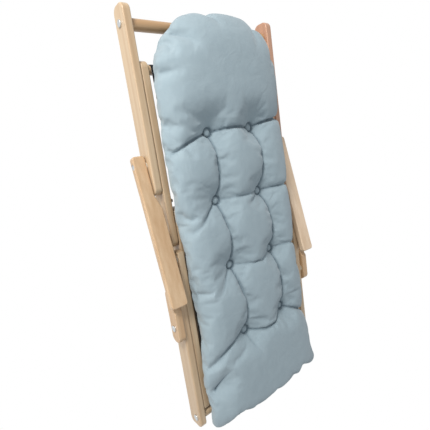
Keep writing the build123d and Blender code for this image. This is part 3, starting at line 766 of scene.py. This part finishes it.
def tuft_button(name, tree, across, height):
    """One covered button, on the cover where it is pulled in."""
    near = np.hypot(cover[:, 0] - across, cover[:, 2] - height) < BUTTON_SEAT
    seat = cover[near & (cloth_y(cover[:, 2]) - cover[:, 1] > BUTTON_STAND)]
    depth = seat[:, 1].min() if len(seat) else cloth_y(height) - BUTTON_DEPTH
    mesh = bpy.data.meshes.new(name)
    mesh.from_pydata([(across, depth, height)], [], [])
    piece = bpy.data.objects.new(name, mesh)
    scene.collection.objects.link(piece)
    modifier = piece.modifiers.new("covered button", "NODES")
    modifier.node_group = tree
    for item in tree.interface.items_tree:
        if item.name in BUTTON:
            modifier[item.identifier] = BUTTON[item.name]
    apply_all(piece)
    return piece


COVERED_BUTTON = button_tree()
for number, (across, height) in enumerate(TUFTS, start=1):
    button = tuft_button(f"tuft_button_{number}", COVERED_BUTTON, across * MM, height * MM)
    half = "back" if height * MM > FOLD_HEIGHT else "seat"
    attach(button, f"{half}_frame")
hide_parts("back_tuft_buttons")
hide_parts("seat_tuft_buttons")

# Sling
SLING_HALF = 205 * MM
SLING_THICK = 1.2 * MM
SLING_GAP = 0.3 * MM
SLING_ACROSS, SLING_DOWN, ARC_POINTS = 24, 150, 25
# Angles in degrees over which it lies round each rod, and where it leaves them
TOP_WRAP, LOW_WRAP = (-60, 180), (180, 420)
ROD_EASE = 6 * MM


def arc(y, z, radius, wrap):
    """Depths and heights of points round a rod."""
    turns = np.radians(np.linspace(*wrap, ARC_POINTS))
    return np.stack([y + radius * np.cos(turns), z + radius * np.sin(turns)], axis=1)


def build_sling():
    """One strip of canvas: round the top dowel, down the front, round the front rod."""
    heights = np.linspace(TOP_Z - ROD_EASE, LOW_Z + ROD_EASE, SLING_DOWN)
    inner = np.concatenate([
        arc(TOP_Y, TOP_Z, TOP_R + SLING_GAP, TOP_WRAP),
        np.stack([cloth_y(heights) + SLING_THICK, heights], axis=1),
        arc(LOW_Y, LOW_Z, LOW_R + SLING_GAP, LOW_WRAP),
    ])
    along = np.gradient(inner, axis=0)
    along /= np.linalg.norm(along, axis=1, keepdims=True)
    outer = inner + np.stack([along[:, 1], -along[:, 0]], axis=1) * SLING_THICK
    across = np.linspace(-SLING_HALF, SLING_HALF, SLING_ACROSS)
    points = [(x, y, z) for side in (inner, outer) for y, z in side for x in across]
    faces = shell_faces(len(inner), SLING_ACROSS, sides=True)
    piece = mesh_object("canvas_sling", points, faces, CANVAS)
    piece.data.shade_smooth()
    return piece, float(np.linalg.norm(np.diff(inner, axis=0), axis=1).sum())


sling, sling_length = build_sling()
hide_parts("sling_upper", "sling_lower")
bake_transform(sling)

# Camera, solved from the rails' edges
CAMERA_PLACE = (-0.6494, -0.8249 + SHIFT, 0.8118)
CAMERA_TURN = (-35.35, 10.77, -8.49)
CAMERA_LENS, CAMERA_SENSOR, CAMERA_END = 27.81, 36, 50


def add_camera():
    """A camera that looks along an azimuth and an elevation, with a roll, in degrees."""
    azimuth, elevation, roll = (math.radians(angle) for angle in CAMERA_TURN)
    data = bpy.data.cameras.new("camera")
    data.sensor_width = CAMERA_SENSOR
    data.lens = CAMERA_LENS
    data.clip_end = CAMERA_END
    camera = bpy.data.objects.new("camera", data)
    scene.collection.objects.link(camera)
    flat = math.cos(elevation)
    back = Vector((math.sin(azimuth) * flat, -math.cos(azimuth) * flat, math.sin(elevation)))
    right = Vector((math.cos(azimuth), math.sin(azimuth), 0))
    up = back.cross(right)
    rolled_right = right * math.cos(roll) + up * math.sin(roll)
    rolled_up = up * math.cos(roll) - right * math.sin(roll)
    matrix = Matrix((rolled_right, rolled_up, back)).transposed().to_4x4()
    matrix.translation = Vector(CAMERA_PLACE)
    camera.matrix_world = matrix
    scene.camera = camera


# Soft lights: place, what it points at, size, power and colour
LIGHTS = {
    "key": ((-1.6, -1.2, 2.7), (0, 0, 0.65), (0.6, 0.6), 66, (1, 0.985, 0.96)),
    "side": ((-2.4, 0.2, 1.3), (0, 0, 0.6), (1.0, 1.8), 20, (1, 0.98, 0.95)),
    "low": ((-0.6, -2.6, 0.5), (0, 0, 0.6), (1.6, 1.2), 8, (0.98, 0.99, 1)),
}


def area_light(name, place, aim, size, power, colour):
    """A rectangular lamp turned towards a place."""
    data = bpy.data.lights.new(name, "AREA")
    data.shape = "RECTANGLE"
    data.size, data.size_y = size
    data.energy = power
    data.color = colour
    lamp = bpy.data.objects.new(name, data)
    scene.collection.objects.link(lamp)
    direction = Vector(aim) - Vector(place)
    lamp.rotation_euler = direction.to_track_quat("-Z", "Y").to_euler()
    lamp.location = place


def white_world():
    """A soft even light, seen as plain white by the camera and in what shines."""
    world = bpy.data.worlds.new("world")
    scene.world = world
    world.use_nodes = True
    tree = world.node_tree
    tree.nodes.clear()
    rays = node(tree, "ShaderNodeLightPath").outputs
    seen = rays["Is Camera Ray"]
    for ray in ("Is Glossy Ray", "Is Transmission Ray"):
        seen = maths(tree, "MAXIMUM", seen, rays[ray])
    soft = node(tree, "ShaderNodeBackground", {"Color": (0.95, 0.97, 1.0, 1), "Strength": 0.46})
    white = node(tree, "ShaderNodeBackground", {"Color": (1, 1, 1, 1), "Strength": 1.0})
    mix = node(tree, "ShaderNodeMixShader", {0: seen, 1: soft.outputs[0], 2: white.outputs[0]})
    node(tree, "ShaderNodeOutputWorld", {"Surface": mix.outputs[0]})


add_camera()
for name, values in LIGHTS.items():
    area_light(name, *values)
white_world()
scene.view_settings.view_transform = "Standard"
